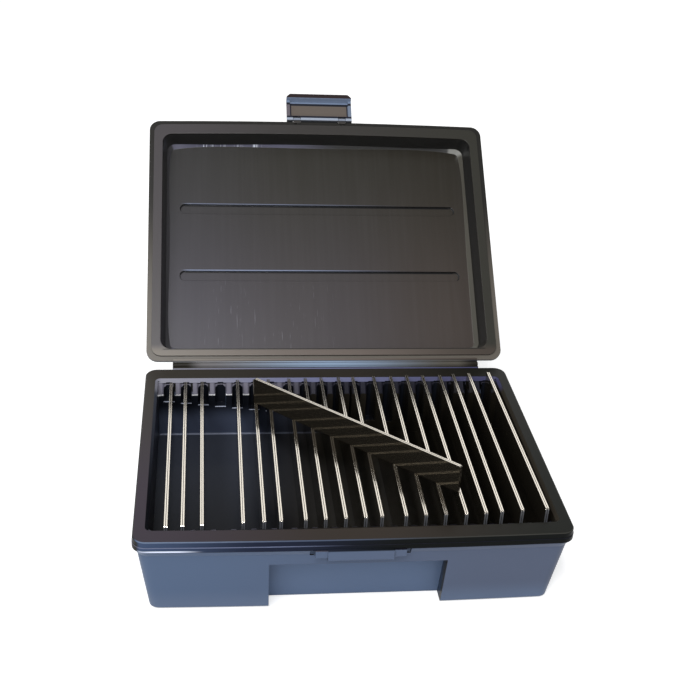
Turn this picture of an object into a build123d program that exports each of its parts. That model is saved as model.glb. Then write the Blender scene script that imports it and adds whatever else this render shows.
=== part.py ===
"""Fitted case of thin steel parallels: twenty matched pairs on edge in a moulded case with a lid.

Frame: X to the right, Y to the back, Z up, millimetres. The origin is the middle of the face
that the case stands on. The lid is open and one pair lies across the tops of the others.
"""

import os
from math import atan, cos, degrees, radians, sin

from build123d import *

# ---------------------------------------------------------------- driving sizes (mm, degrees)

# steel plates: twenty matched pairs, each pair one step taller than the one to its left
PLATE_LENGTH = 152.4
PLATE_THICKNESS = 0.794
PLATE_CORNER = 0.5
FIRST_HEIGHT = 12.7
HEIGHT_STEP = 1.5875
PAIRS = 20
PAIR_GAP = 0.3
LOOSE_PAIR = 4
LOOSE_ANGLE = 42.9
LOOSE_MIDDLE = (5.0, -4.6)
REST_GAP = 0.15

# comb: slots that hold the pairs
SLOT_WIDTH = 6.6
SLOT_MOUTH = 7.1
SLOT_CORNER = 1.6
END_RIB = 3.85
BACK_PLAY = 1.3
FRONT_PLAY = 2.6
COMB_FACE = 71.2
RIB_TOP_DROP = 7.9
RIB_BEVEL = 0.9
TOP_RISE = 0.28
FIRST_TOP = -0.6

# case base
CASE_WIDTH = 242.0
CASE_DEPTH = 183.1
FRONT_BOW = 1.7
BASE_HEIGHT = 51.9
CASE_CORNER = 7.5
RIM_BAND = 6.5
RIM_LINE = 3.6
RIM_STEP = 0.3
RIM_OVERHANG = 1.9
SHOULDER = 0.5
SHOULDER_DROP = 11.0
FOOT_INSET = 7.9
SIDE_RIM = 8.4
EDGE_BREAK = 0.6
FOOT_BREAK = 0.9
LEAD_SIDE = 1.6
LEAD_END = 1.5
LEAD_DEPTH = 1.9

# front of the base: finger recess, catch and its guides
FRONT_MIDDLE = 1.4
RECESS_WIDTH = 98.4
RECESS_DRAFT = 0.6
RECESS_TOP_DROP = 18.4
RECESS_TOP_Y = 81.2
RECESS_FOOT_Y = 75.4
CATCH_WIDTH = 36.2
CATCH_DROP = 13.4
CATCH_REACH = 1.4
GUIDE_WIDTH = 6.8
GUIDE_DROP = 11.3
GUIDE_REACH = 0.7
POCKET_WIDTH = 2.4
POCKET_HEIGHT = 5.0
POCKET_DEPTH = 1.6

# lid
LID_BAND = 3.4
LID_HEIGHT = 17.9
LID_TAPER = 14.0
LID_CROWN = 5.0
LID_RECESS = 15.5
LID_SIDE_RIM = 9.3
LID_FRONT_RIM = 10.8
LID_BACK_RIM = 8.2
LID_SIDE_DRAFT = 3.3
LID_FRONT_DRAFT = 1.4
PANEL_BEVEL = 2.4
LID_CLEARANCE = 0.3
LID_OPEN = 139.1
LID_STEP = 3.3
LID_STEP_DEPTH = 1.2
LID_GROOVE_LENGTH = 199.0
LID_GROOVE_WIDTH = 7.6
LID_GROOVE_DEPTH = 1.6
LID_GROOVES_AT = (68.4, 120.4)

# hinge strip between the base and the lid
HINGE_REACH = 3.5
HINGE_RISE = 0.6
HINGE_END = 17.6
HINGE_THICKNESS = 2.6
HINGE_BEAD = 1.6
RUNNING_GAP = 0.3

# latch on the front edge of the lid
LATCH_WIDTH = 47.6
LATCH_REACH = 2.1
LATCH_DROP = 1.8
LATCH_BODY = 2.0
LATCH_FRAME = 2.4
LATCH_LENGTH = 19.5
HOOK_RISE = 2.2
HOOK_SLOPE = 1.3
LATCH_CORNER = 2.5
LUG_WIDTH = 5.0
LUG_AT = 16.5
TRUNNION = 0.9
TRUNNION_GAP = 0.2

# where each pair stands in its slot: how far across at the back end and at the front end
# (- is left), and how far along (- is towards the front)
SEATS = {
    1: (1.7, 2.2, -1.0),
    2: (-0.2, 0.1, -1.0),
    3: (-0.8, -0.6, -0.9),
    5: (-0.1, -0.6, 0.0),
    6: (-0.2, -0.3, 0.0),
    7: (-2.2, -2.2, -0.3),
    8: (0.2, 0.2, 0.0),
    9: (-0.1, 0.0, -0.2),
    10: (-0.8, 0.0, 0.0),
    11: (-0.4, -0.2, -0.2),
    12: (-1.9, -2.2, 0.0),
    13: (0.9, 0.1, 0.0),
    14: (1.2, 0.0, -0.3),
    15: (0.8, 0.1, 0.0),
    16: (0.4, 0.4, -0.8),
    17: (0.9, 0.4, -0.8),
    18: (-1.0, -1.6, 0.0),
    19: (-1.4, -1.0, 0.4),
    20: (1.0, 2.2, 0.9),
}

# ---------------------------------------------------------------- sizes that follow

HALF_D = CASE_DEPTH / 2
CAVITY_W = CASE_WIDTH - 2 * SIDE_RIM
SLOT_PITCH = (CAVITY_W - SLOT_WIDTH - 2 * END_RIB) / (PAIRS - 1)
HINGE_WIDTH = CASE_WIDTH - 2 * HINGE_END
BACK_WALL = PLATE_LENGTH / 2 + BACK_PLAY
FRONT_WALL = PLATE_LENGTH / 2 + FRONT_PLAY
TALLEST = FIRST_HEIGHT + HEIGHT_STEP * (PAIRS - 1)
FLOOR_Z = BASE_HEIGHT + FIRST_TOP + TOP_RISE * (PAIRS - 1) - TALLEST
OPEN = radians(LID_OPEN)
HINGE_Y = HALF_D + HINGE_REACH
HINGE_Z = BASE_HEIGHT + HINGE_RISE
EDGE_Z = LID_CLEARANCE - HINGE_RISE
HOOK_AT = LATCH_DROP + LID_CLEARANCE + CATCH_DROP + 1.5 * RUNNING_GAP
LATCH_TOP = LATCH_DROP + HOOK_RISE
LATCH_FLOOR = LATCH_BODY - LATCH_DROP
FRONT_FACE = HALF_D + FRONT_BOW
BACK_TOP = BACK_WALL + 0.1
FRONT_TOP = FRONT_WALL + 0.8


def plate_height(pair):
    """Height of the plates of one pair, counted from 1 at the left."""
    return FIRST_HEIGHT + HEIGHT_STEP * (pair - 1)


def plate_top(pair):
    """Level of a pair's top edges."""
    return BASE_HEIGHT + FIRST_TOP + TOP_RISE * (pair - 1)


def slot_x(pair):
    """Middle of one slot across the case."""
    return (pair - (PAIRS + 1) / 2) * SLOT_PITCH


def ledge_z(pair):
    """Level of the two ledges that one pair stands on."""
    return plate_top(pair) - plate_height(pair)


def plan(width, back, front, corner):
    """Rounded outline from y = back to y = front, with the front side bowed outwards."""
    bow = FRONT_BOW if front > back else -FRONT_BOW
    with BuildSketch() as outline:
        with BuildLine():
            Polyline((-width / 2, front), (-width / 2, back), (width / 2, back), (width / 2, front))
            ThreePointArc((-width / 2, front), (0, front + bow), (width / 2, front))
        make_face()
        fillet(outline.vertices(), corner)
    return outline.sketch


def base_plan(inset):
    """Outline of the base, set in from the edge of its rim."""
    return plan(CASE_WIDTH - 2 * inset, HALF_D - inset, inset - HALF_D, CASE_CORNER - inset / 4)


def lid_plan(side, back, front, corner):
    """Outline on the lid's inner face, set in from the edges of its rim."""
    return plan(CASE_WIDTH - 2 * side, back, CASE_DEPTH - front, corner)


# the lid's inner face as it stands open: y runs from its hinge edge to its front edge
lid_face = Plane(
    origin=(
        0,
        HINGE_Y - HINGE_REACH * cos(OPEN) + EDGE_Z * sin(OPEN),
        HINGE_Z + HINGE_REACH * sin(OPEN) + EDGE_Z * cos(OPEN),
    ),
    x_dir=(1, 0, 0),
    z_dir=(0, -sin(OPEN), -cos(OPEN)),
)

lid_normal = Axis(lid_face.origin, lid_face.z_dir)

# the latch's own plane: origin on its pivot, y along the latch, z towards the hook
latch_face = Plane(
    origin=lid_face.from_local_coords(
        (FRONT_MIDDLE, CASE_DEPTH + FRONT_BOW + LATCH_REACH, -LATCH_DROP)
    ),
    x_dir=(1, 0, 0),
    z_dir=lid_face.z_dir,
)
latch_side = Plane(origin=latch_face.origin, x_dir=latch_face.y_dir, z_dir=(1, 0, 0))
hinge_axis = Location((0, HINGE_Y, HINGE_Z), (0, 90, 0))


# ---------------------------------------------------------------- case base

with BuildPart() as case_base:
    # walls taper from the underside of the rim to the foot, whose edge is broken
    with BuildSketch(Plane.XY):
        add(base_plan(FOOT_INSET + FOOT_BREAK))
    with BuildSketch(Plane.XY.offset(FOOT_BREAK)):
        add(base_plan(FOOT_INSET))
    with BuildSketch(Plane.XY.offset(BASE_HEIGHT - RIM_BAND)):
        add(base_plan(RIM_OVERHANG))
    loft(ruled=True)

    # shoulder under the rim
    with BuildSketch(Plane.XY.offset(BASE_HEIGHT - SHOULDER_DROP)):
        add(base_plan(RIM_OVERHANG + 0.7))
    with BuildSketch(Plane.XY.offset(BASE_HEIGHT - RIM_BAND - 0.5)):
        add(base_plan(SHOULDER))
    loft(ruled=True)

    # finger recess between the two front corner blocks
    for level, y_wall, draft in (
        (0, RECESS_FOOT_Y, RECESS_DRAFT),
        (BASE_HEIGHT - RECESS_TOP_DROP, RECESS_TOP_Y, 0),
    ):
        with BuildSketch(Plane.XY.offset(level)):
            with Locations((FRONT_MIDDLE, -y_wall)):
                Rectangle(RECESS_WIDTH - 2 * draft, 30, align=(Align.CENTER, Align.MAX))
    loft(ruled=True, mode=Mode.SUBTRACT)

    # rim band in two steps with its top edge broken
    with BuildSketch(Plane.XY.offset(BASE_HEIGHT - RIM_BAND)):
        add(base_plan(0))
    extrude(amount=RIM_BAND - RIM_LINE)
    with BuildSketch(Plane.XY.offset(BASE_HEIGHT - RIM_LINE)):
        add(base_plan(RIM_STEP))
    extrude(amount=RIM_LINE)
    chamfer(case_base.edges().group_by(Axis.Z)[-1], EDGE_BREAK)

    # catch under the rim, with a low guide on each side of it
    with BuildSketch(Plane.YZ.offset(FRONT_MIDDLE - CATCH_WIDTH / 2)):
        with BuildLine():
            Polyline(
                (-FRONT_FACE - CATCH_REACH, BASE_HEIGHT - RIM_BAND - 0.3),
                (-FRONT_FACE - CATCH_REACH, BASE_HEIGHT - CATCH_DROP + 1),
                (-FRONT_FACE - CATCH_REACH + 1, BASE_HEIGHT - CATCH_DROP),
                (-HALF_D + 5, BASE_HEIGHT - CATCH_DROP),
                (-HALF_D + 5, BASE_HEIGHT - RIM_BAND + 1),
                (-FRONT_FACE + 0.5, BASE_HEIGHT - RIM_BAND + 1),
                close=True,
            )
        make_face()
    extrude(amount=CATCH_WIDTH)
    for side in (-1, 1):
        guide_x = FRONT_MIDDLE + side * (CATCH_WIDTH + GUIDE_WIDTH) / 2
        with Locations((guide_x, -FRONT_FACE - GUIDE_REACH, BASE_HEIGHT - RIM_BAND - 0.2)):
            Box(
                GUIDE_WIDTH,
                7 + GUIDE_REACH,
                GUIDE_DROP - RIM_BAND - 0.2,
                align=(Align.CENTER, Align.MIN, Align.MAX),
            )
        pocket_x = side * (CATCH_WIDTH / 2 + GUIDE_WIDTH + POCKET_WIDTH / 2 + 0.3)
        with Locations((FRONT_MIDDLE + pocket_x, -FRONT_FACE, BASE_HEIGHT - RIM_BAND)):
            Box(
                POCKET_WIDTH,
                2 * (RIM_OVERHANG + POCKET_DEPTH),
                POCKET_HEIGHT,
                align=(Align.CENTER, Align.CENTER, Align.MAX),
                mode=Mode.SUBTRACT,
            )

    # well between the two combs
    with BuildSketch(Plane.XY.offset(FLOOR_Z)):
        RectangleRounded(CAVITY_W, 2 * COMB_FACE, 2.5)
    extrude(amount=BASE_HEIGHT, mode=Mode.SUBTRACT)

    # slots of both combs, wider at the mouth, each one down to its own ledge
    for pair in range(1, PAIRS + 1):
        with BuildSketch(Plane.XY.offset(ledge_z(pair))) as slot:
            with Locations((slot_x(pair), 0)):
                Polygon(
                    (SLOT_WIDTH / 2, BACK_WALL),
                    (-SLOT_WIDTH / 2, BACK_WALL),
                    (-SLOT_MOUTH / 2, COMB_FACE),
                    (-SLOT_MOUTH / 2, -COMB_FACE),
                    (-SLOT_WIDTH / 2, -FRONT_WALL),
                    (SLOT_WIDTH / 2, -FRONT_WALL),
                    (SLOT_MOUTH / 2, -COMB_FACE),
                    (SLOT_MOUTH / 2, COMB_FACE),
                    align=None,
                )
            ends = slot.vertices().group_by(Axis.Y)
            chamfer(ends[0] + ends[-1], SLOT_CORNER)
        extrude(amount=BASE_HEIGHT, mode=Mode.SUBTRACT)

    # lead-in round the opening
    with BuildSketch(Plane.XY.offset(BASE_HEIGHT - LEAD_DEPTH)):
        with Locations((0, (BACK_TOP - FRONT_TOP) / 2)):
            RectangleRounded(CAVITY_W, BACK_TOP + FRONT_TOP, 2)
    with BuildSketch(Plane.XY.offset(BASE_HEIGHT)):
        add(plan(CAVITY_W + 2 * LEAD_SIDE, BACK_TOP + LEAD_END, -FRONT_TOP - LEAD_END, 3.5))
    loft(ruled=True, mode=Mode.SUBTRACT)

    # tops of the ribs slope down from the lead-in into the well
    for wall, side in ((BACK_TOP, 1), (FRONT_TOP, -1)):
        with BuildSketch(Plane.YZ.offset(-CAVITY_W / 2)):
            with BuildLine():
                Polyline(
                    (side * wall, BASE_HEIGHT - LEAD_DEPTH),
                    (side * COMB_FACE, BASE_HEIGHT - RIB_TOP_DROP),
                    (side * (COMB_FACE - 4), BASE_HEIGHT - RIB_TOP_DROP),
                    (side * (COMB_FACE - 4), BASE_HEIGHT),
                    (side * wall, BASE_HEIGHT),
                    close=True,
                )
            make_face()
        extrude(amount=CAVITY_W, mode=Mode.SUBTRACT)

        # both long edges of every rib top are bevelled along the slope
        foot = Vector(0, side * COMB_FACE, BASE_HEIGHT - RIB_TOP_DROP)
        head = Vector(0, side * wall, BASE_HEIGHT - LEAD_DEPTH)
        along = (head - foot).normalized()
        across = Plane(origin=foot - along * 3, x_dir=(1, 0, 0), z_dir=along)
        rise = 1 if across.y_dir.Z > 0 else -1
        with BuildSketch(across):
            for pair in range(1, PAIRS + 1):
                with Locations((slot_x(pair), 0)):
                    Polygon(
                        (SLOT_WIDTH / 2 - 0.5, -rise * (RIB_BEVEL + 0.5)),
                        (SLOT_MOUTH / 2 + RIB_BEVEL, rise * 0.15),
                        (-SLOT_MOUTH / 2 - RIB_BEVEL, rise * 0.15),
                        (-SLOT_WIDTH / 2 + 0.5, -rise * (RIB_BEVEL + 0.5)),
                        align=None,
                    )
        extrude(amount=(head - foot).length + 2.2, mode=Mode.SUBTRACT)

    # hinge strip along the back, ending in the round bead that the lid turns on
    with BuildSketch(Plane.YZ.offset(-HINGE_WIDTH / 2)):
        with BuildLine():
            Polyline(
                (HALF_D - 1, BASE_HEIGHT - HINGE_THICKNESS),
                (HINGE_Y, BASE_HEIGHT - 0.8),
                (HINGE_Y, BASE_HEIGHT + 0.1),
                (HALF_D + 0.3, BASE_HEIGHT + 0.1),
                (HALF_D - 1, BASE_HEIGHT - 1.5),
                close=True,
            )
        make_face()
        with Locations((HINGE_Y, HINGE_Z)):
            Circle(HINGE_BEAD)
    extrude(amount=HINGE_WIDTH)

case_base.part.label = "case_base"


# ---------------------------------------------------------------- lid

with BuildPart() as case_lid:
    # shell: low rim band, then walls that taper to the crowned top
    with BuildSketch(lid_face):
        add(lid_plan(0, 0, 0, CASE_CORNER))
    extrude(amount=-LID_BAND)
    with BuildSketch(lid_face.offset(-LID_BAND)):
        with Locations((0, HALF_D)):
            RectangleRounded(
                CASE_WIDTH - 2 * RIM_OVERHANG,
                CASE_DEPTH - 2 * RIM_OVERHANG,
                CASE_CORNER,
            )
    extrude(amount=LID_BAND - LID_HEIGHT, taper=LID_TAPER)
    fillet(case_lid.faces().sort_by(lid_normal).first.edges(), LID_CROWN)

    # deep recess over the plates, with drafted walls
    with BuildSketch(lid_face):
        add(lid_plan(LID_SIDE_RIM, LID_BACK_RIM, LID_FRONT_RIM, 7))
    with BuildSketch(lid_face.offset(-LID_RECESS)):
        add(
            lid_plan(
                LID_SIDE_RIM + LID_SIDE_DRAFT,
                LID_BACK_RIM + LID_SIDE_DRAFT,
                LID_FRONT_RIM + LID_FRONT_DRAFT,
                6,
            )
        )
    loft(ruled=True, mode=Mode.SUBTRACT)
    panel = case_lid.faces().filter_by(lid_normal).sort_by(lid_normal)[1]
    chamfer(panel.edges(), PANEL_BEVEL)

    # step along the outer edge of the rim
    with BuildSketch(lid_face):
        add(lid_plan(-1, -1, -1, CASE_CORNER))
        add(lid_plan(LID_STEP, LID_STEP, LID_STEP, CASE_CORNER - 1), mode=Mode.SUBTRACT)
    extrude(amount=-LID_STEP_DEPTH, mode=Mode.SUBTRACT)

    # two stiffening grooves across the panel
    with BuildSketch(lid_face.offset(-LID_RECESS)):
        for groove_at in LID_GROOVES_AT:
            with Locations((0, groove_at)):
                SlotOverall(LID_GROOVE_LENGTH, LID_GROOVE_WIDTH)
    extrude(amount=-LID_GROOVE_DEPTH, mode=Mode.SUBTRACT)

    # flange along the hinge edge, hollowed to turn round the bead
    with BuildSketch(lid_face.offset(-0.1)):
        with Locations((0, -HINGE_REACH)):
            Rectangle(
                HINGE_WIDTH,
                HINGE_REACH + 1,
                align=(Align.CENTER, Align.MIN),
            )
    extrude(amount=-HINGE_THICKNESS - 0.7)
    with Locations(hinge_axis):
        Cylinder(HINGE_BEAD + RUNNING_GAP, HINGE_WIDTH + 2, mode=Mode.SUBTRACT)

    # two lugs that the latch pin runs through
    for side in (-1, 1):
        with BuildSketch(latch_side.offset(side * LUG_AT - LUG_WIDTH / 2)):
            Circle(LATCH_DROP - 0.2)
            Rectangle(
                LATCH_REACH + 1.5,
                2 * (LATCH_DROP - 0.2),
                align=(Align.MAX, Align.CENTER),
            )
            Circle(TRUNNION + TRUNNION_GAP, mode=Mode.SUBTRACT)
        extrude(amount=LUG_WIDTH)

case_lid.part.label = "case_lid"


# ---------------------------------------------------------------- latch

with BuildPart() as latch:
    # tray-shaped body with cut corners at the hook end
    with BuildSketch(latch_face.offset(-LATCH_DROP)):
        with BuildLine():
            Polyline(
                (-LATCH_WIDTH / 2, 0),
                (LATCH_WIDTH / 2, 0),
                (LATCH_WIDTH / 2, LATCH_LENGTH - LATCH_CORNER),
                (LATCH_WIDTH / 2 - LATCH_CORNER, LATCH_LENGTH),
                (LATCH_CORNER - LATCH_WIDTH / 2, LATCH_LENGTH),
                (-LATCH_WIDTH / 2, LATCH_LENGTH - LATCH_CORNER),
                close=True,
            )
        make_face()
    extrude(amount=LATCH_DROP + LATCH_TOP)

    # everything before the hook lies at the level of the side walls
    with BuildSketch(latch_side.offset(-LATCH_WIDTH / 2 - 1)):
        with BuildLine():
            Polyline(
                (-1, LATCH_DROP),
                (HOOK_AT - HOOK_SLOPE / 2, LATCH_DROP),
                (HOOK_AT, LATCH_TOP),
                (HOOK_AT, LATCH_TOP + 1),
                (-1, LATCH_TOP + 1),
                close=True,
            )
        make_face()
    extrude(amount=LATCH_WIDTH + 2, mode=Mode.SUBTRACT)

    # sunk panel between the side walls
    with BuildSketch(latch_side.offset(LATCH_FRAME - LATCH_WIDTH / 2)):
        with BuildLine():
            Polyline(
                (2.7, LATCH_FLOOR),
                (HOOK_AT - HOOK_SLOPE, LATCH_FLOOR),
                (HOOK_AT - HOOK_SLOPE / 2, LATCH_DROP),
                (HOOK_AT - HOOK_SLOPE / 2, LATCH_DROP + 1),
                (2.7, LATCH_DROP + 1),
                close=True,
            )
        make_face()
    extrude(amount=LATCH_WIDTH - 2 * LATCH_FRAME, mode=Mode.SUBTRACT)

    # barrel, notched round the lugs, with the pin bare inside the notches
    with BuildSketch(latch_side.offset(-LATCH_WIDTH / 2)):
        Circle(LATCH_DROP)
    extrude(amount=LATCH_WIDTH)
    for side in (-1, 1):
        with BuildSketch(latch_side.offset(side * LUG_AT - LUG_WIDTH / 2 - RUNNING_GAP)):
            Rectangle(
                2 * LATCH_DROP + 0.6,
                2 * LATCH_TOP + 1,
            )
        extrude(amount=LUG_WIDTH + 2 * RUNNING_GAP, mode=Mode.SUBTRACT)
    with BuildSketch(latch_side.offset(-LATCH_WIDTH / 2)):
        Circle(TRUNNION)
    extrude(amount=LATCH_WIDTH)

latch.part.label = "latch"


# ---------------------------------------------------------------- steel plates

def make_plate(pair, name):
    """One plate lying along X on its long edge, with its corners broken."""
    with BuildPart() as plate:
        Box(
            PLATE_LENGTH,
            PLATE_THICKNESS,
            plate_height(pair),
            align=(Align.CENTER, Align.CENTER, Align.MIN),
        )
        chamfer(plate.edges().filter_by(Axis.Y), PLATE_CORNER)
    plate.part.label = name
    return plate.part


HALF_PAIR = (PLATE_THICKNESS + PAIR_GAP) / 2
plates = {}
for pair in range(1, PAIRS + 1):
    for letter, side in (("a", 1), ("b", -1)):
        name = f"parallel_{pair:02d}_{letter}"
        plate = make_plate(pair, name)
        if pair == LOOSE_PAIR:
            # lies on the rising tops of the other pairs
            slope = TOP_RISE / SLOT_PITCH
            tilt = degrees(atan(slope * cos(radians(LOOSE_ANGLE))))
            level = plate_top(1) + slope * (LOOSE_MIDDLE[0] - slot_x(1)) + REST_GAP
            place = Pos(LOOSE_MIDDLE[0], LOOSE_MIDDLE[1], level)
            turn = Rot(0, 0, -LOOSE_ANGLE) * Rot(0, -tilt, 0)
        else:
            # stands in its slot, from its back end to its front end
            back, front, along = SEATS[pair]
            place = Pos(slot_x(pair) + (back + front) / 2, along, ledge_z(pair))
            turn = Rot(0, 0, -90 + degrees(atan((front - back) / PLATE_LENGTH)))
        plates[name] = place * turn * Pos(0, -side * HALF_PAIR, 0) * plate
        plates[name].label = name


# ---------------------------------------------------------------- one file for each piece

os.makedirs("parts", exist_ok=True)
export_step(case_base.part, "parts/case_base.step")
export_step(case_lid.part, "parts/case_lid.step")
export_step(latch.part, "parts/latch.step")
for name, plate in plates.items():
    export_step(plate, f"parts/{name}.step")
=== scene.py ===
from math import cos, radians, sin

import bpy
from mathutils import Matrix, Vector

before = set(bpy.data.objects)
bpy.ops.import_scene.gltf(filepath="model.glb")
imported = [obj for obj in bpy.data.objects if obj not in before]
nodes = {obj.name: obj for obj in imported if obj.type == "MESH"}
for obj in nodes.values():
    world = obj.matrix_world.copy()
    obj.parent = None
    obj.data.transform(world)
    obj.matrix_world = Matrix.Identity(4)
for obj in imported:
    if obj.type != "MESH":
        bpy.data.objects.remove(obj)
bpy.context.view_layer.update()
bpy.ops.object.select_all(action="DESELECT")


# ---------------------------------------------------------------- case base
# The base is one injection moulding in black plastic with a semi-gloss skin.
# Outside it has a painted blue-grey sheen, its rim top painted light that darkens
# to the right, and the well painted shade. Mould edges are slightly rounded and
# catch the light.


def new_finish(name, roughness, specular, edge_rounding=0.0):
    """A material, its node tree and its shader, with softened edges where asked."""
    finish = bpy.data.materials.new(name)
    finish.use_nodes = True
    tree = finish.node_tree
    shader = tree.nodes["Principled BSDF"]
    shader.inputs["Roughness"].default_value = roughness
    shader.inputs["Specular IOR Level"].default_value = specular
    if edge_rounding:
        soft_edges = tree.nodes.new("ShaderNodeBevel")
        soft_edges.samples = 6
        soft_edges.inputs["Radius"].default_value = edge_rounding
        tree.links.new(soft_edges.outputs["Normal"], shader.inputs["Normal"])
    return finish, tree, shader


def place_and_facing(tree):
    """The piece's coordinates and the way that its surface faces, whole and as X, Y and Z."""
    where = tree.nodes.new("ShaderNodeTexCoord")
    parts = []
    for output in ("Object", "Normal"):
        split = tree.nodes.new("ShaderNodeSeparateXYZ")
        tree.links.new(where.outputs[output], split.inputs["Vector"])
        parts.append(split.outputs)
    return where.outputs, parts[0], parts[1]


def step(tree, source, low, high):
    """0 at low, 1 at high, and smooth between them. High may be the smaller number."""
    node = tree.nodes.new("ShaderNodeMapRange")
    node.interpolation_type = "SMOOTHSTEP"
    node.inputs["From Min"].default_value = low
    node.inputs["From Max"].default_value = high
    tree.links.new(source, node.inputs["Value"])
    return node.outputs["Result"]


def calc(tree, operation, *values):
    """One sum, each value a number or another node's output, taken from left to right."""
    total = values[0]
    for value in values[1:]:
        node = tree.nodes.new("ShaderNodeMath")
        node.operation = operation
        for socket, part in zip(node.inputs, (total, value)):
            if isinstance(part, (int, float)):
                socket.default_value = part
            else:
                tree.links.new(part, socket)
        total = node.outputs["Value"]
    return total


def overlap(tree, *areas):
    """1 where all the areas are 1."""
    return calc(tree, "MULTIPLY", *areas)


def band(tree, source, low, high, soft=0.0002):
    """1 between low and high, 0 outside, and soft on either side of both."""
    rise = step(tree, source, low - soft, low + soft)
    fall = step(tree, source, high + soft, high - soft)
    return overlap(tree, rise, fall)


def mixed(tree, factor, first, second):
    """The first colour where factor is 0, the second where it is 1."""
    node = tree.nodes.new("ShaderNodeMix")
    node.data_type = "RGBA"
    tree.links.new(factor, node.inputs["Factor"])
    for socket, value in ((node.inputs[6], first), (node.inputs[7], second)):
        if isinstance(value, tuple):
            socket.default_value = (*value, 1)
        else:
            tree.links.new(value, socket)
    return node.outputs[2]


def three_tones(tree, source, low, high, first, middle, last):
    """A colour that runs from first through middle to last between low and high."""
    half = (low + high) / 2
    tone = mixed(tree, step(tree, source, low, half), first, middle)
    return mixed(tree, step(tree, source, half, high), tone, last)


def painted_wall_sheen(tree, across):
    """A painted blue-grey sheen for the outside walls, duller to the right."""
    span = (-0.12, 0.10)
    left_sheen, right_sheen = (0.088, 0.130, 0.218), (0.090, 0.112, 0.172)
    return mixed(tree, step(tree, across, *span), left_sheen, right_sheen)


def painted_hinge_sheen(tree, across):
    """Where the broad painted sheen lies along the hinge, and its tone."""
    left_end, right_end = (-0.095, -0.083), (0.101, 0.088)
    span = (-0.085, 0.085)
    tones = (0.150, 0.145, 0.150), (0.230, 0.310, 0.430), (0.085, 0.078, 0.066)
    shine = overlap(tree, step(tree, across, *left_end), step(tree, across, *right_end))
    return shine, three_tones(tree, across, *span, *tones)


def dress(name, finish):
    """Give the named piece its finish."""
    for slot in nodes[name].material_slots:
        slot.material = finish


moulded, tree, shader = new_finish(
    "moulded_black", roughness=0.28, specular=0.10, edge_rounding=0.0005
)
_, at, facing = place_and_facing(tree)

# In what follows a pair of numbers is where a tone starts and where it is full, or
# the two sides of a band: places in metres, or how far a surface faces one way,
# from -1 to 1. Three numbers are a colour.

# the well in painted light and shade: brown shade at the right, blue light at the
# left, painted shade on its floor to the front and on the face of the back comb
# above; painted highlights lie along the noses of the ledges and along the foot of
# the comb
FROM_MIDDLE_TO_LEFT = (0.0, -0.06)
FLOOR_FRONT_TO_BACK = (-0.06, 0.06)
COMB_FACE = (0.0700, 0.0716)
COMB_LIT_BELOW = (0.037, 0.024)
IN_THE_SLOTS = (0.0716, 0.0722)
LEDGE_NOSES = (0.0708, 0.0722)
LEDGES_LIT_ABOVE = (0.020, 0.022)
LEDGES_LIT_LEFT_OF = (-0.01, -0.03)
LEDGE_FACES_UP = (0.6, 0.8)
WELL_FOOT = (0.0134, 0.0144)
WELL_BROWN_SHADE = (0.030, 0.026, 0.020)
WELL_SHADE = (0.010, 0.012, 0.018)
COMB_BLUE_LIGHT = (0.080, 0.098, 0.155)
FLOOR_FRONT_SHADE, FLOOR_BACK_LIGHT = (0.006, 0.007, 0.010), (0.050, 0.057, 0.078)
LEDGE_LIGHT = (0.55, 0.60, 0.75)
FOOT_LIGHT = (0.26, 0.29, 0.38)

left_side = step(tree, at["X"], *FROM_MIDDLE_TO_LEFT)
comb_left_light = mixed(tree, step(tree, at["Z"], *COMB_LIT_BELOW), WELL_SHADE, COMB_BLUE_LIGHT)
comb_light_and_shade = mixed(tree, left_side, WELL_BROWN_SHADE, comb_left_light)
floor_left_light = mixed(tree, step(tree, at["Y"], *FLOOR_FRONT_TO_BACK), FLOOR_FRONT_SHADE, FLOOR_BACK_LIGHT)
tone = mixed(tree, left_side, WELL_BROWN_SHADE, floor_left_light)
tone = mixed(tree, step(tree, at["Y"], *IN_THE_SLOTS), tone, WELL_SHADE)
tone = mixed(tree, band(tree, at["Y"], *COMB_FACE), tone, comb_light_and_shade)
ledge_nose = overlap(
    tree,
    band(tree, at["Y"], *LEDGE_NOSES),
    step(tree, facing["Z"], *LEDGE_FACES_UP),
    step(tree, at["Z"], *LEDGES_LIT_ABOVE),
    step(tree, at["X"], *LEDGES_LIT_LEFT_OF),
)
tone = mixed(tree, ledge_nose, tone, LEDGE_LIGHT)
foot_line = overlap(
    tree,
    band(tree, at["Y"], *COMB_FACE, soft=0.0003),
    band(tree, at["Z"], *WELL_FOOT),
    left_side,
)
tone = mixed(tree, foot_line, tone, FOOT_LIGHT)

# the sloped tops of the ribs, in painted light at the left and painted shade at the
# right, with a painted highlight along the foot of each at the left
RIB_TOPS = (0.0420, 0.0495)
RIB_TOP_SLOPES = (0.2, 0.4)
RIBS_LEFT_TO_RIGHT = (-0.05, 0.0)
RIB_FEET = (0.0434, 0.0441)
RIB_FEET_LIT_LEFT_OF = (-0.02, -0.04)
RIB_NOSES = (0.0700, 0.0722)
RIB_LIT_LEFT, RIB_SHADED_RIGHT = (0.150, 0.145, 0.190), (0.022, 0.022, 0.034)
RIB_FOOT_LIGHT = (0.95, 0.96, 1.0)

rib_slope = overlap(
    tree,
    step(tree, facing["Z"], *RIB_TOP_SLOPES),
    band(tree, at["Z"], *RIB_TOPS, soft=0.0004),
)
rib_light_and_shade = mixed(tree, step(tree, at["X"], *RIBS_LEFT_TO_RIGHT), RIB_LIT_LEFT, RIB_SHADED_RIGHT)
tone = mixed(tree, rib_slope, tone, rib_light_and_shade)
rib_foot = overlap(
    tree,
    band(tree, at["Z"], *RIB_FEET),
    band(tree, at["Y"], *RIB_NOSES, soft=0.0003),
    step(tree, at["X"], *RIB_FEET_LIT_LEFT_OF),
)
tone = mixed(tree, rib_foot, tone, RIB_FOOT_LIGHT)

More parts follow.
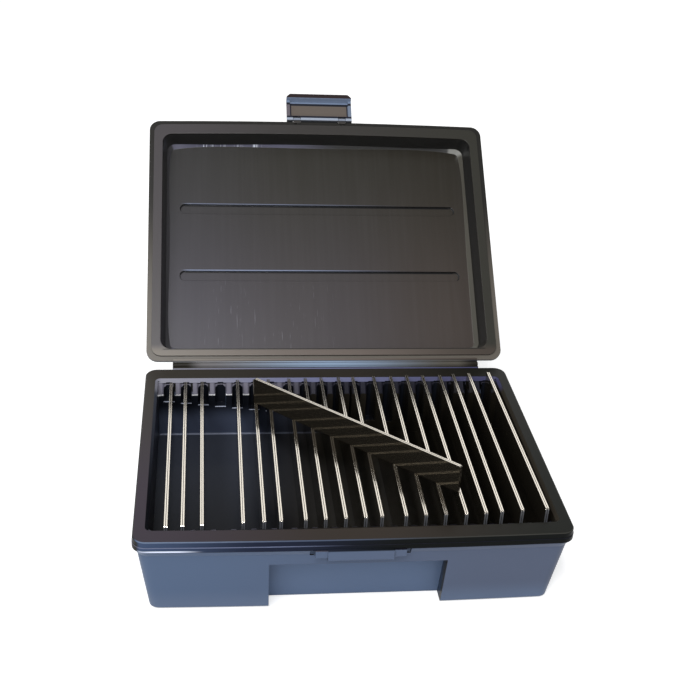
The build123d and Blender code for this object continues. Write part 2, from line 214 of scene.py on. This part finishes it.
# the lead-in under the back rim, in painted light that is stronger at the left
ABOVE_THE_RIBS = (0.0494, 0.0498)
AT_THE_BACK = (0.06, 0.07)
LEAD_IN_SLOPES = (0.25, 0.93)
LEAD_IN_SPAN = (-0.12, 0.11)
LEAD_IN_LIGHT_TONES = (0.24, 0.24, 0.29), (0.15, 0.16, 0.28), (0.060, 0.060, 0.13)

lead_in = overlap(
    tree,
    band(tree, facing["Z"], *LEAD_IN_SLOPES, soft=0.04),
    step(tree, at["Z"], *ABOVE_THE_RIBS),
    step(tree, at["Y"], *AT_THE_BACK),
)
lead_in_light = three_tones(tree, at["X"], *LEAD_IN_SPAN, *LEAD_IN_LIGHT_TONES)
tone = mixed(tree, lead_in, tone, lead_in_light)

# the flat top of the rim, with a painted sheen that is browner and darker to the
# right
SIDE_TO_SIDE = (-0.12, 0.12)
RIM_FRONT_TO_BACK = (-0.05, 0.07)
LEVEL, NOT_LEVEL = (0.90, 0.97), (0.97, 0.90)
RIM_TOP = (0.0512, 0.0515)
RIM_FRONT_SHEEN_TONES = (0.040, 0.032, 0.043), (0.026, 0.019, 0.014), (0.004, 0.005, 0.003)
RIM_BACK_SHEEN_TONES = (0.038, 0.034, 0.029), (0.026, 0.022, 0.018), (0.006, 0.006, 0.004)

on_top = overlap(tree, step(tree, facing["Z"], *LEVEL), step(tree, at["Z"], *RIM_TOP))
rim_front_sheen = three_tones(tree, at["X"], *SIDE_TO_SIDE, *RIM_FRONT_SHEEN_TONES)
rim_back_sheen = three_tones(tree, at["X"], *SIDE_TO_SIDE, *RIM_BACK_SHEEN_TONES)
rim_painted_light = mixed(tree, step(tree, at["Y"], *RIM_FRONT_TO_BACK), rim_front_sheen, rim_back_sheen)
tone = mixed(tree, on_top, tone, rim_painted_light)

# the outside walls, whose painted sheen is paler at the foot, with painted shade on
# the sides of the catch; the finger recess has the painted blue sheen, with painted
# shade on its wall at the right
OUTSIDE = (0.02, 0.04)
TOWARDS_THE_FOOT = (0.016, 0.0)
FOOT_PAINTED_SHEEN = (0.115, 0.155, 0.240)
CATCH_FRONT = (-0.0905, -0.0910)
CATCH_LEVEL = (0.034, 0.0455)
CATCH_SPAN = (-0.045, 0.045)
CATCH_SIDEWAYS = (0.3, 0.6)
CATCH_SIDE_SHADE = (0.012, 0.018, 0.034)
RECESS_WALLS = (-0.0825, -0.0753)
RECESS_BELOW = (0.036, 0.034)
RECESS_SPAN = (-0.06, 0.06)
NOT_FACING_BACK = (0.5, 0.2)
FACING_LEFT = (-0.3, -0.7)
RECESS_SHEEN, RECESS_RIGHT_SHADE = (0.112, 0.160, 0.262), (0.020, 0.032, 0.058)

outward = calc(
    tree,
    "ADD",
    calc(tree, "MULTIPLY", at["X"], facing["X"]),
    calc(tree, "MULTIPLY", at["Y"], facing["Y"]),
)
foot = step(tree, at["Z"], *TOWARDS_THE_FOOT)
painted_wall_light_and_shade = mixed(tree, foot, painted_wall_sheen(tree, at["X"]), FOOT_PAINTED_SHEEN)
tone = mixed(tree, step(tree, outward, *OUTSIDE), tone, painted_wall_light_and_shade)
sideways = calc(tree, "MULTIPLY", facing["X"], facing["X"])
catch_side = overlap(
    tree,
    step(tree, sideways, *CATCH_SIDEWAYS),
    step(tree, at["Y"], *CATCH_FRONT),
    band(tree, at["Z"], *CATCH_LEVEL, soft=0.001),
    band(tree, at["X"], *CATCH_SPAN, soft=0.002),
)
tone = mixed(tree, catch_side, tone, CATCH_SIDE_SHADE)
recess = overlap(
    tree,
    band(tree, at["Y"], *RECESS_WALLS, soft=0.0003),
    step(tree, facing["Y"], *NOT_FACING_BACK),
    step(tree, at["Z"], *RECESS_BELOW),
    band(tree, at["X"], *RECESS_SPAN, soft=0.002),
)
right_wall = step(tree, facing["X"], *FACING_LEFT)
recess_light_and_shade = mixed(tree, right_wall, RECESS_SHEEN, RECESS_RIGHT_SHADE)
tone = mixed(tree, recess, tone, recess_light_and_shade)

# the band round the rim: a painted reflection, navy at the left and nearly black
# from the middle on, with painted highlights along its top edge and its step, a
# painted glint near its left end and painted shade where it turns the left side
BAND_ABOVE = (0.0450, 0.0455)
BAND_OUTSIDE = (0.005, 0.02)
BAND_SPAN, TOP_EDGE_SPAN = (-0.125, 0.03), (-0.12, 0.06)
BAND_TOP_EDGE = (0.0512, 0.0516)
BAND_STEP = (0.0481, 0.0485)
BAND_STEP_LIT_LEFT_OF = (0.0, -0.04)
BAND_REFLECTION_TONES = (0.045, 0.070, 0.135), (0.008, 0.012, 0.030), (0.001, 0.002, 0.002)
TOP_EDGE_HIGHLIGHT_TONES = (0.11, 0.15, 0.23), (0.055, 0.075, 0.125), (0.040, 0.040, 0.036)
BAND_STEP_LIGHT = (0.13, 0.17, 0.30)
GLINT_SPAN = (-0.1160, -0.0900)
GLINT_LEVEL = (0.0451, 0.0464)
GLINT_FACES_FRONT = (-0.3, -0.6)
GLINT_LIGHT = (0.75, 0.82, 1.0)
BAND_LEFT_SIDE = (-0.4, -0.7)
BAND_LEFT_SIDE_SHADE = (0.016, 0.016, 0.013)

band_painted_light = three_tones(tree, at["X"], *BAND_SPAN, *BAND_REFLECTION_TONES)
top_edge_highlight = three_tones(tree, at["X"], *TOP_EDGE_SPAN, *TOP_EDGE_HIGHLIGHT_TONES)
band_painted_light = mixed(tree, step(tree, at["Z"], *BAND_TOP_EDGE), band_painted_light, top_edge_highlight)
step_line = overlap(
    tree,
    band(tree, at["Z"], *BAND_STEP, soft=0.0001),
    step(tree, at["X"], *BAND_STEP_LIT_LEFT_OF),
)
band_painted_light = mixed(tree, step_line, band_painted_light, BAND_STEP_LIGHT)
glint = overlap(
    tree,
    band(tree, at["X"], *GLINT_SPAN, soft=0.008),
    band(tree, at["Z"], *GLINT_LEVEL, soft=0.0003),
    step(tree, facing["Y"], *GLINT_FACES_FRONT),
)
band_painted_light = mixed(tree, glint, band_painted_light, GLINT_LIGHT)
left_run = step(tree, facing["X"], *BAND_LEFT_SIDE)
band_painted_light = mixed(tree, left_run, band_painted_light, BAND_LEFT_SIDE_SHADE)
in_band = overlap(
    tree,
    step(tree, at["Z"], *BAND_ABOVE),
    step(tree, facing["Z"], *NOT_LEVEL),
    step(tree, outward, *BAND_OUTSIDE),
)
tone = mixed(tree, in_band, tone, band_painted_light)

# the strip of the moulded hinge, with a broad painted sheen over its middle
STRIP_BEHIND = (0.0925, 0.0932)
STRIP_ABOVE = (0.0490, 0.0494)
STRIP_END_TONE = (0.022, 0.020, 0.016)

on_strip = overlap(tree, step(tree, at["Y"], *STRIP_BEHIND), step(tree, at["Z"], *STRIP_ABOVE))
sheen, sheen_tone = painted_hinge_sheen(tree, at["X"])
tone = mixed(tree, on_strip, tone, mixed(tree, sheen, STRIP_END_TONE, sheen_tone))
tree.links.new(tone, shader.inputs["Base Color"])
dress("case_base", moulded)


# ---------------------------------------------------------------- lid
# The lid is moulded in the same plastic. The plates rub its inner panel, which
# leaves fine scuffs across it, and a painted sheen makes the panel paler low on
# the left. It leans back, so places on it are told along it from its hinge edge
# and out from its rim.

LID_ALONG = (0.0, 0.7559, 0.6547)
LID_OUT = (0.0, -0.6547, 0.7559)
HINGE_EDGE_ALONG = 0.1097
RIM_OUT = -0.0222
LID_HALF_LENGTH = 0.0915


def dot(tree, source, direction, start=0.0):
    """How far source reaches in direction, measured from start."""
    node = tree.nodes.new("ShaderNodeVectorMath")
    node.operation = "DOT_PRODUCT"
    tree.links.new(source, node.inputs[0])
    node.inputs[1].default_value = direction
    return calc(tree, "SUBTRACT", node.outputs["Value"], start)


def drawn_out_noise(tree, point, scale, stretch):
    """Noise drawn out along one direction, as rubbing leaves it; it also places the
    painted glints on the top slope.
    """
    mapping = tree.nodes.new("ShaderNodeMapping")
    mapping.inputs["Scale"].default_value = stretch
    tree.links.new(point, mapping.inputs["Vector"])
    noise = tree.nodes.new("ShaderNodeTexNoise")
    noise.inputs["Scale"].default_value = scale
    noise.inputs["Detail"].default_value = 4.0
    tree.links.new(mapping.outputs["Vector"], noise.inputs["Vector"])
    return noise.outputs["Fac"]


lid_skin, tree, shader = new_finish(
    "lid_black", roughness=0.28, specular=0.55, edge_rounding=0.0005
)
where, at, facing = place_and_facing(tree)
along = dot(tree, where["Object"], LID_ALONG, HINGE_EDGE_ALONG)
out = dot(tree, where["Object"], LID_OUT, RIM_OUT)
flat = dot(tree, where["Normal"], LID_OUT)

# the inner panel, with a painted sheen that is paler low down and browner to the
# right, and fine scuffs and a rubbed patch at the left
PANEL_SPAN = (-0.11, 0.10)
PANEL_LOW_TO_HIGH = (0.01, 0.17)
PANEL_LOW_SHEEN_TONES = (0.048, 0.044, 0.060), (0.055, 0.048, 0.053), (0.054, 0.042, 0.036)
PANEL_HIGH_SHEEN_TONES = (0.034, 0.033, 0.033), (0.028, 0.026, 0.021), (0.023, 0.020, 0.014)
SCUFF_SCALE, SCUFF_STRETCH = 22.0, (16.0, 0.5, 0.5)
SCUFFS_FROM, SCUFF_STRENGTH, SCUFF_TONE = (0.35, 0.75), 0.018, (0.30, 0.29, 0.31)
RUB_SCALE, RUB_STRETCH = 90.0, (14.0, 0.7, 0.7)
RUBS_FROM, RUB_STRENGTH, RUB_TONE = (0.64, 0.72), 0.35, (0.30, 0.29, 0.34)
RUBBED_ACROSS, RUBBED_ALONG = (-0.080, 0.0), (0.016, 0.060)

low = three_tones(tree, at["X"], *PANEL_SPAN, *PANEL_LOW_SHEEN_TONES)
high = three_tones(tree, at["X"], *PANEL_SPAN, *PANEL_HIGH_SHEEN_TONES)
tone = mixed(tree, step(tree, along, *PANEL_LOW_TO_HIGH), low, high)
fine = step(tree, drawn_out_noise(tree, where["Object"], SCUFF_SCALE, SCUFF_STRETCH), *SCUFFS_FROM)
tone = mixed(tree, calc(tree, "MULTIPLY", fine, SCUFF_STRENGTH), tone, SCUFF_TONE)
rubbed = overlap(
    tree,
    step(tree, drawn_out_noise(tree, where["Object"], RUB_SCALE, RUB_STRETCH), *RUBS_FROM),
    band(tree, at["X"], *RUBBED_ACROSS, soft=0.02),
    band(tree, along, *RUBBED_ALONG, soft=0.012),
)
tone = mixed(tree, calc(tree, "MULTIPLY", rubbed, RUB_STRENGTH), tone, RUB_TONE)

# the rim round the recess in painted light, palest along the hinge, the lower lip
# outside its step in painted light and shade, and painted shade in the lines that
# outline both
RIM_LIGHT_TONES = (0.060, 0.054, 0.058), (0.038, 0.035, 0.033), (0.030, 0.029, 0.023)
HINGE_RIM_LIGHT_TONES = (0.165, 0.145, 0.122), (0.125, 0.100, 0.086), (0.055, 0.043, 0.034)
RIM_FROM, NEAR_THE_HINGE = (-0.006, -0.004), (0.012, 0.006)
LIP_HIGH_TO_LOW = (0.13, 0.03)
LIP_HIGH_SHADE, LIP_LOW_LIGHT = (0.016, 0.015, 0.013), (0.115, 0.102, 0.085)
LIP, LIP_FLAT = (-0.0035, -0.0006), (0.5, 0.8)
LIP_RISER, RISER_NOT_FLAT = (-0.0014, -0.0001), (0.6, 0.4)
INNER_LINE = (0.0076, 0.0083)
INNER_LINE_FROM = (-0.004, -0.002)
INNER_LINE_SPAN = (-0.110, 0.110)
LINE_SHADE = (0.012, 0.011, 0.009)

rim_painted_light = three_tones(tree, at["X"], *SIDE_TO_SIDE, *RIM_LIGHT_TONES)
hinge_rim_light = three_tones(tree, at["X"], *SIDE_TO_SIDE, *HINGE_RIM_LIGHT_TONES)
rim_painted_light = mixed(tree, step(tree, along, *NEAR_THE_HINGE), rim_painted_light, hinge_rim_light)
tone = mixed(tree, step(tree, out, *RIM_FROM), tone, rim_painted_light)
lip = overlap(tree, band(tree, out, *LIP), step(tree, flat, *LIP_FLAT))
lip_light_and_shade = mixed(tree, step(tree, along, *LIP_HIGH_TO_LOW), LIP_HIGH_SHADE, LIP_LOW_LIGHT)
tone = mixed(tree, lip, tone, lip_light_and_shade)
riser = overlap(
    tree, band(tree, out, *LIP_RISER, soft=0.0001), step(tree, flat, *RISER_NOT_FLAT)
)
inner_line = overlap(
    tree,
    band(tree, along, *INNER_LINE),
    step(tree, out, *INNER_LINE_FROM),
    band(tree, at["X"], *INNER_LINE_SPAN, soft=0.001),
)
tone = mixed(tree, calc(tree, "MAXIMUM", riser, inner_line), tone, LINE_SHADE)

# the recess walls carry painted shade; the slope at the foot of each carries painted
# light, brightest in short painted glints along the top one and a painted highlight
# in the top right corner
STEEP, WALLS_FROM = (0.34, 0.27), (-0.0005, -0.0015)
SLOPING, SLOPES_FROM = (0.30, 0.93), (-0.008, -0.010)
LEFT_WALL_TO_RIGHT = (0.2, -0.2)
RIGHT_SLOPE, LEFT_SLOPE = (-0.2, -0.4), (0.2, 0.4)
TOP_LEFT_TO_RIGHT = (-0.03, 0.02)
WALL_LEFT_SHADE, WALL_RIGHT_SHADE = (0.022, 0.022, 0.022), (0.012, 0.012, 0.012)
TOP_LEFT_LIGHT, TOP_RIGHT_LIGHT = (0.140, 0.140, 0.200), (0.055, 0.055, 0.055)
SLOPE_GLINT_SCALE, SLOPE_GLINT_STRETCH = 60.0, (10.0, 0.1, 0.1)
SLOPE_GLINTS_FROM, SLOPE_GLINT_SPAN, SLOPE_GLINT_TONE = (0.60, 0.66), (-0.085, -0.042), (0.75, 0.80, 0.90)
RIGHT_SLOPE_LIGHT, LEFT_SLOPE_LIGHT = (0.080, 0.076, 0.063), (0.046, 0.045, 0.050)
CORNER_ACROSS, CORNER_ALONG = (0.0975, 0.1000), (0.1650, 0.1690)
CORNER_HIGHLIGHT = (0.30, 0.30, 0.28)

top_fade = step(tree, at["X"], *TOP_LEFT_TO_RIGHT)
top_slope_light = mixed(tree, top_fade, TOP_LEFT_LIGHT, TOP_RIGHT_LIGHT)
slope_glints = overlap(
    tree,
    step(tree, drawn_out_noise(tree, where["Object"], SLOPE_GLINT_SCALE, SLOPE_GLINT_STRETCH), *SLOPE_GLINTS_FROM),
    band(tree, at["X"], *SLOPE_GLINT_SPAN, soft=0.004),
)
top_slope_light = mixed(tree, slope_glints, top_slope_light, SLOPE_GLINT_TONE)
slope_light = mixed(tree, step(tree, facing["X"], *RIGHT_SLOPE), top_slope_light, RIGHT_SLOPE_LIGHT)
slope_light = mixed(tree, step(tree, facing["X"], *LEFT_SLOPE), slope_light, LEFT_SLOPE_LIGHT)
corner = overlap(
    tree, step(tree, at["X"], *CORNER_ACROSS), step(tree, along, *CORNER_ALONG)
)
slope_light = mixed(tree, corner, slope_light, CORNER_HIGHLIGHT)
sloped = overlap(tree, band(tree, flat, *SLOPING, soft=0.03), step(tree, out, *SLOPES_FROM))
tone = mixed(tree, sloped, tone, slope_light)
wall_side = step(tree, facing["X"], *LEFT_WALL_TO_RIGHT)
painted_wall_light_and_shade = mixed(tree, wall_side, WALL_LEFT_SHADE, WALL_RIGHT_SHADE)
steep = overlap(tree, step(tree, flat, *STEEP), step(tree, out, *WALLS_FROM))
tone = mixed(tree, steep, tone, painted_wall_light_and_shade)

# the two grooves across the panel, each with a painted highlight over painted shade
# on its upper wall and a painted shade outline round both ends; the lower one is the
# brighter
UPPER_GROOVE_EDGE, UPPER_GROOVE_BRIGHTNESS = 0.1242, 0.5
LOWER_GROOVE_EDGE, LOWER_GROOVE_BRIGHTNESS = 0.0722, 1.0
GROOVE_RADIUS = 0.0038
GROOVE_STRAIGHT = 0.0957
GROOVE_SPAN = (-0.096, 0.096)
GROOVE_OUTLINE = (0.0033, 0.0040)
OUTLINE_START = (0.0, 0.0006)
OUTLINE_REACH, REACH_SOFT = 0.0034, (-0.0002, 0.0004)
OUTLINE_SHADE = (0.008, 0.008, 0.009)
LIGHT_WIDTH, GROOVE_HIGHLIGHT_TONE = 0.0008, (0.200, 0.240, 0.360)
LIGHT_RIGHT_TO_LEFT = (0.07, -0.04)
UPPER_WALL_WIDTH, UPPER_WALL_SHADE = 0.0011, (0.004, 0.004, 0.005)
BELOW_THE_PANEL = (-0.012, -0.013)

to_either_side = calc(tree, "MAXIMUM", at["X"], calc(tree, "MULTIPLY", at["X"], -1.0))
beyond = calc(tree, "MAXIMUM", calc(tree, "SUBTRACT", to_either_side, GROOVE_STRAIGHT), 0.0)
for upper_edge, brightness in (
    (UPPER_GROOVE_EDGE, UPPER_GROOVE_BRIGHTNESS),
    (LOWER_GROOVE_EDGE, LOWER_GROOVE_BRIGHTNESS),
):
    aside = calc(tree, "SUBTRACT", along, upper_edge - GROOVE_RADIUS)
    squared = calc(
        tree,
        "ADD",
        calc(tree, "MULTIPLY", beyond, beyond),
        calc(tree, "MULTIPLY", aside, aside),
    )
    from_middle = calc(tree, "POWER", squared, 0.5)
    outline_end = [-OUTLINE_REACH * brightness + soft for soft in REACH_SOFT]
    end_outline = overlap(
        tree,
        band(tree, from_middle, *GROOVE_OUTLINE),
        step(tree, beyond, *OUTLINE_START),
        step(tree, aside, *outline_end),
    )
    tone = mixed(tree, end_outline, tone, OUTLINE_SHADE)
    over = overlap(
        tree,
        band(tree, along, upper_edge, upper_edge + LIGHT_WIDTH),
        step(tree, at["X"], *LIGHT_RIGHT_TO_LEFT),
        band(tree, at["X"], *GROOVE_SPAN, soft=0.004),
    )
    tone = mixed(tree, calc(tree, "MULTIPLY", over, brightness), tone, GROOVE_HIGHLIGHT_TONE)
    upper_wall = overlap(
        tree,
        band(tree, along, upper_edge - UPPER_WALL_WIDTH, upper_edge),
        band(tree, at["X"], *GROOVE_SPAN, soft=0.001),
        step(tree, out, *BELOW_THE_PANEL),
    )
    tone = mixed(tree, upper_wall, tone, UPPER_WALL_SHADE)

# the flange that joins the hinge strip carries the strip's painted sheen
FLANGE_BELOW, FLANGE_SHEEN_BELOW = (-0.0001, -0.0004), (-0.0006, -0.0009)
FLANGE_TONE = (0.010, 0.009, 0.012)

tone = mixed(tree, step(tree, along, *FLANGE_BELOW), tone, FLANGE_TONE)
shine, sheen_tone = painted_hinge_sheen(tree, at["X"])
sheen = overlap(tree, shine, step(tree, along, *FLANGE_SHEEN_BELOW))
tone = mixed(tree, sheen, tone, sheen_tone)

# the outside has the base's painted blue-grey sheen
WALLS_FACE_OUTWARD = (0.03, 0.05)
BACK_FACES_AWAY = (-0.3, -0.6)
BEHIND_THE_LIP = (-0.0062, -0.0066)

outward = calc(
    tree,
    "ADD",
    calc(tree, "MULTIPLY", at["X"], facing["X"]),
    calc(
        tree,
        "MULTIPLY",
        calc(tree, "SUBTRACT", along, LID_HALF_LENGTH),
        dot(tree, where["Normal"], LID_ALONG),
    ),
)
walls_and_back = calc(
    tree,
    "MAXIMUM",
    step(tree, outward, *WALLS_FACE_OUTWARD),
    step(tree, flat, *BACK_FACES_AWAY),
)
outside = overlap(tree, walls_and_back, step(tree, out, *BEHIND_THE_LIP))
tone = mixed(tree, outside, tone, painted_wall_sheen(tree, at["X"]))

# the two lugs carry the latch's painted shade, with a painted highlight on a ridge
LUGS_FROM = (0.1850, 0.1854)
LUG_RIDGE = (0.1860, 0.1878)
LUG_SHADE, LUG_RIDGE_HIGHLIGHT = (0.030, 0.032, 0.038), (0.230, 0.265, 0.340)

tone = mixed(tree, step(tree, along, *LUGS_FROM), tone, LUG_SHADE)
tone = mixed(tree, band(tree, along, *LUG_RIDGE), tone, LUG_RIDGE_HIGHLIGHT)
tree.links.new(tone, shader.inputs["Base Color"])
dress("case_lid", lid_skin)


# ---------------------------------------------------------------- latch
# The latch is a separate snap moulding that swings on two lugs of the lid. Its
# inside shows a painted brown sheen on its panel in a frame of painted blue-white
# highlights, with painted shade along the line between them.

LATCH_PANEL = (-0.0190, 0.0218)
LATCH_OUTLINE = (-0.0198, 0.0226)
FRAME_LEFT_TO_RIGHT = (0.0, 0.01)
FRAME_LEFT_HIGHLIGHT, FRAME_RIGHT_HIGHLIGHT = (0.125, 0.110, 0.130), (0.160, 0.195, 0.265)
LATCH_LINE_SHADE = (0.016, 0.017, 0.026)
LATCH_PANEL_SHEEN = (0.122, 0.102, 0.088)
# outwards from the panel, along the lid: over it a painted shade line, a ridge with a
# painted highlight and the dark hook, and under it a painted shade line, a ridge with
# a painted highlight and the pin's painted shade
LATCH_LIGHT_AND_SHADE_STRIPES = (
    ((0.1984, 0.1988), (0.016, 0.018, 0.026)),
    ((0.2002, 0.2006), (0.160, 0.210, 0.310)),
    ((0.2028, 0.2036), (0.026, 0.018, 0.019)),
    ((0.1896, 0.1890), (0.014, 0.016, 0.026)),
    ((0.1880, 0.1876), (0.300, 0.345, 0.430)),
    ((0.1862, 0.1858), (0.030, 0.032, 0.038)),
)

latch_skin, tree, shader = new_finish(
    "latch_black", roughness=0.26, specular=0.3, edge_rounding=0.0004
)
where, at, _ = place_and_facing(tree)
along = dot(tree, where["Object"], LID_ALONG, HINGE_EDGE_ALONG)
frame_fade = step(tree, at["X"], *FRAME_LEFT_TO_RIGHT)
tone = mixed(tree, frame_fade, FRAME_LEFT_HIGHLIGHT, FRAME_RIGHT_HIGHLIGHT)
tone = mixed(tree, band(tree, at["X"], *LATCH_OUTLINE), tone, LATCH_LINE_SHADE)
tone = mixed(tree, band(tree, at["X"], *LATCH_PANEL, soft=0.0003), tone, LATCH_PANEL_SHEEN)
for stripe_from, stripe_light_and_shade in LATCH_LIGHT_AND_SHADE_STRIPES:
    tone = mixed(tree, step(tree, along, *stripe_from), tone, stripe_light_and_shade)
tree.links.new(tone, shader.inputs["Base Color"])
dress("latch", latch_skin)


# ---------------------------------------------------------------- parallels
# Each plate is hardened steel strip, ground on both faces and all four edges. The
# edges carry a painted highlight, and the faces mirror the dark case around them
# and carry painted shade as well.

EDGE_FACING, END_FACING = (0.1, 0.6), (0.80, 0.95)
STEEL_FACE_SHADE = (0.14, 0.122, 0.093)
STEEL_EDGE_HIGHLIGHT = (0.86, 0.80, 0.70)
STEEL_END = (0.55, 0.57, 0.62)
FACE_ROUGHNESS, EDGE_ROUGHER, END_ROUGHER = 0.08, 0.05, 0.35
FACE_METALLIC, EDGE_MORE_METALLIC = 0.90, 0.08

ground, tree, shader = new_finish(
    "ground_steel", roughness=0.2, specular=0.5, edge_rounding=0.0003
)
_, _, facing = place_and_facing(tree)
edge = step(tree, calc(tree, "MULTIPLY", facing["Z"], facing["Z"]), *EDGE_FACING)
end = step(tree, calc(tree, "MULTIPLY", facing["Y"], facing["Y"]), *END_FACING)
steel = mixed(tree, end, mixed(tree, edge, STEEL_FACE_SHADE, STEEL_EDGE_HIGHLIGHT), STEEL_END)
tree.links.new(steel, shader.inputs["Base Color"])
rough = calc(
    tree,
    "ADD",
    FACE_ROUGHNESS,
    calc(tree, "MULTIPLY", edge, EDGE_ROUGHER),
    calc(tree, "MULTIPLY", end, END_ROUGHER),
)
tree.links.new(rough, shader.inputs["Roughness"])
metallic = calc(
    tree, "ADD", FACE_METALLIC, calc(tree, "MULTIPLY", edge, EDGE_MORE_METALLIC)
)
tree.links.new(metallic, shader.inputs["Metallic"])
for name in nodes:
    if name.startswith("parallel"):
        dress(name, ground)


# ---------------------------------------------------------------- floor, light and camera
# A pale floor, a surround, one broad soft lamp and one small bright one. The camera
# sees the surround as white, while a dimmer one lights the set.

FLOOR_SIZE = 8
FLOOR_LEVEL = -0.0004
FLOOR_TONE = (0.86, 0.86, 0.86, 1)
FLOOR_GLOW = (0.5, 0.5, 0.5, 1)

bpy.ops.mesh.primitive_plane_add(size=FLOOR_SIZE, location=(0, 0, FLOOR_LEVEL))
floor = bpy.context.object
floor.name = "floor"
floor_paint, tree, shader = new_finish("floor_white", roughness=0.9, specular=0.0)
shader.inputs["Base Color"].default_value = FLOOR_TONE
glow = tree.nodes.new("ShaderNodeEmission")
glow.inputs["Color"].default_value = FLOOR_GLOW
path = tree.nodes.new("ShaderNodeLightPath")
total = tree.nodes.new("ShaderNodeAddShader")
tree.links.new(path.outputs["Is Camera Ray"], glow.inputs["Strength"])
tree.links.new(shader.outputs["BSDF"], total.inputs[0])
tree.links.new(glow.outputs["Emission"], total.inputs[1])
tree.links.new(total.outputs["Shader"], tree.nodes["Material Output"].inputs["Surface"])
floor.data.materials.append(floor_paint)

# what the surround lights, and what the steel and the plastic mirror of it: bright
# behind the set and dim elsewhere
SOFT_LIGHT = 0.55
MIRRORED_DIM, MIRRORED_BRIGHTER = 0.18, 0.92
BEHIND_THE_SET = (0.35, 0.75)

world = bpy.data.worlds.new("surround")
bpy.context.scene.world = world
world.use_nodes = True
tree = world.node_tree
path = tree.nodes.new("ShaderNodeLightPath")
camera_ray, glossy_ray = path.outputs["Is Camera Ray"], path.outputs["Is Glossy Ray"]
ray = tree.nodes.new("ShaderNodeTexCoord")
split = tree.nodes.new("ShaderNodeSeparateXYZ")
tree.links.new(ray.outputs["Generated"], split.inputs["Vector"])
behind = step(tree, split.outputs["Y"], *BEHIND_THE_SET)
mirrored = calc(
    tree, "ADD", calc(tree, "MULTIPLY", behind, MIRRORED_BRIGHTER), MIRRORED_DIM
)
soft = calc(tree, "MULTIPLY", calc(tree, "SUBTRACT", 1.0, glossy_ray), SOFT_LIGHT)
lit = calc(tree, "ADD", calc(tree, "MULTIPLY", mirrored, glossy_ray), soft)
backing = tree.nodes["Background"]
backing.inputs["Color"].default_value = (1, 1, 1, 1)
tree.links.new(calc(tree, "MAXIMUM", lit, camera_ray), backing.inputs["Strength"])


def add_lamp(name, place, aim, width, height, power):
    """A rectangular lamp at place that points at aim."""
    bpy.ops.object.light_add(type="AREA", location=place)
    lamp = bpy.context.object
    lamp.name = name
    lamp.data.shape = "RECTANGLE"
    lamp.data.size = width
    lamp.data.size_y = height
    lamp.data.energy = power
    lamp.rotation_euler = (Vector(aim) - lamp.location).to_track_quat("-Z", "Y").to_euler()


add_lamp(
    "soft_lamp",
    place=(-0.7, -0.9, 1.5),
    aim=(0, 0.03, 0.05),
    width=1.4,
    height=1.4,
    power=22,
)
add_lamp(
    "small_lamp",
    place=(-0.10, -0.70, 1.08),
    aim=(-0.08, -0.08, 0.05),
    width=0.08,
    height=0.25,
    power=2.5,
)

CAMERA_PLACE = (-0.08086, -0.58229, 0.43976)
CAMERA_LENS, CAMERA_SENSOR = 59.674, 36.0
YAW, PITCH, ROLL = radians(8.027), radians(-28.793), radians(3.698)

ahead = Vector((sin(YAW) * cos(PITCH), cos(YAW) * cos(PITCH), sin(PITCH)))
level_right = Vector((cos(YAW), -sin(YAW), 0))
level_up = level_right.cross(ahead)
right = cos(ROLL) * level_right + sin(ROLL) * level_up
up = -sin(ROLL) * level_right + cos(ROLL) * level_up
bpy.ops.object.camera_add(location=CAMERA_PLACE)
camera = bpy.context.object
camera.name = "camera"
camera.rotation_euler = Matrix((right, up, -ahead)).transposed().to_euler()
camera.data.lens = CAMERA_LENS
camera.data.sensor_width = CAMERA_SENSOR
camera.data.clip_start = 0.01
bpy.context.scene.camera = camera
bpy.context.scene.view_settings.view_transform = "Standard"
